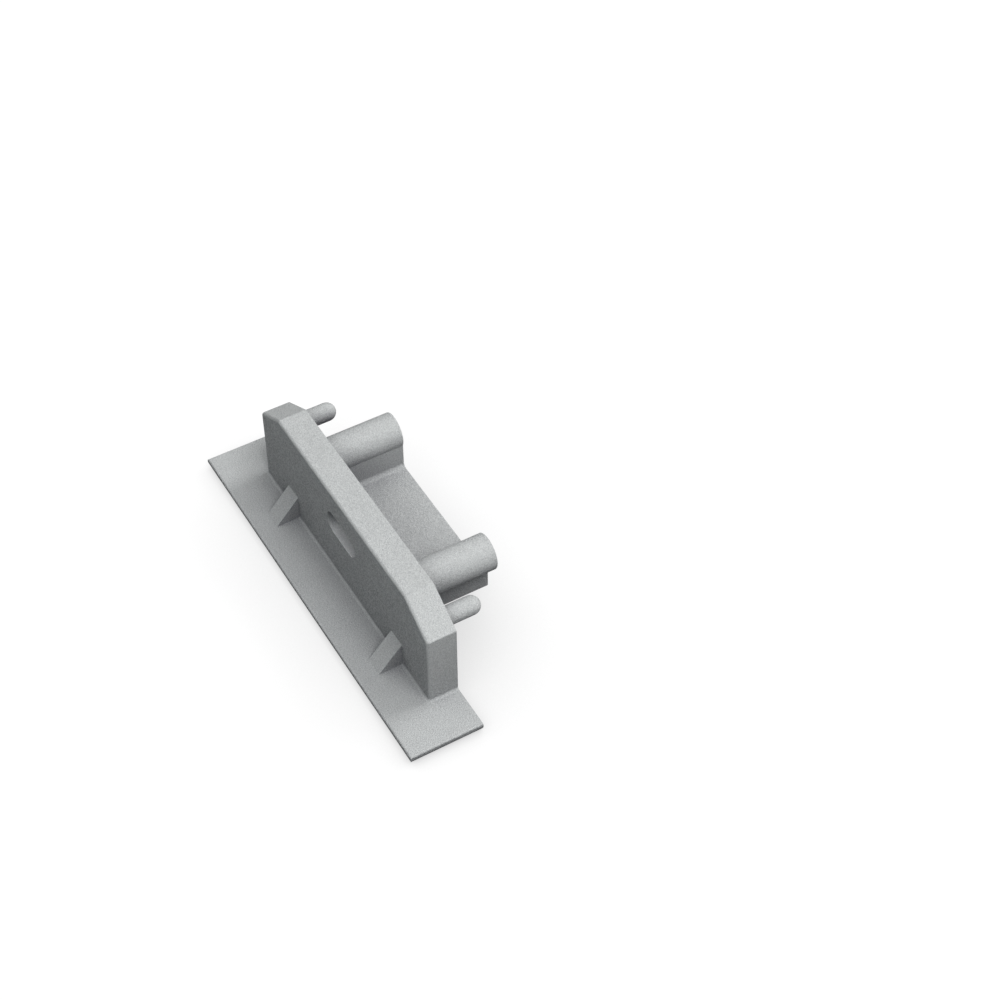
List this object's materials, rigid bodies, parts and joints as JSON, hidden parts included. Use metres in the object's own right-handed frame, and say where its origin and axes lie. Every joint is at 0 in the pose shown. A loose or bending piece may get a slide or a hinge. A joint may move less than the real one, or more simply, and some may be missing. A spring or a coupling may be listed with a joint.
{
  "type": "profile end cap",
  "caption": "Moulded end cap for a recessed metal profile, with a flange, a closing wall with a cable slot, and posts and pins that push into the profile.",
  "frame": {"origin": "middle of the flange's inner long edge, on the visible face", "axes": "+X along the flange, +Y out of the wall's inner face the way the posts point, +Z from the visible face up the wall"},
  "size_m": [0.0452, 0.0161, 0.0127],
  "materials": {
    "grey_moulding": "matt silver grey with a fine grain"
  },
  "bodies": {
    "root": {"end_cap": "grey_moulding"}
  },
  "joints": []
}
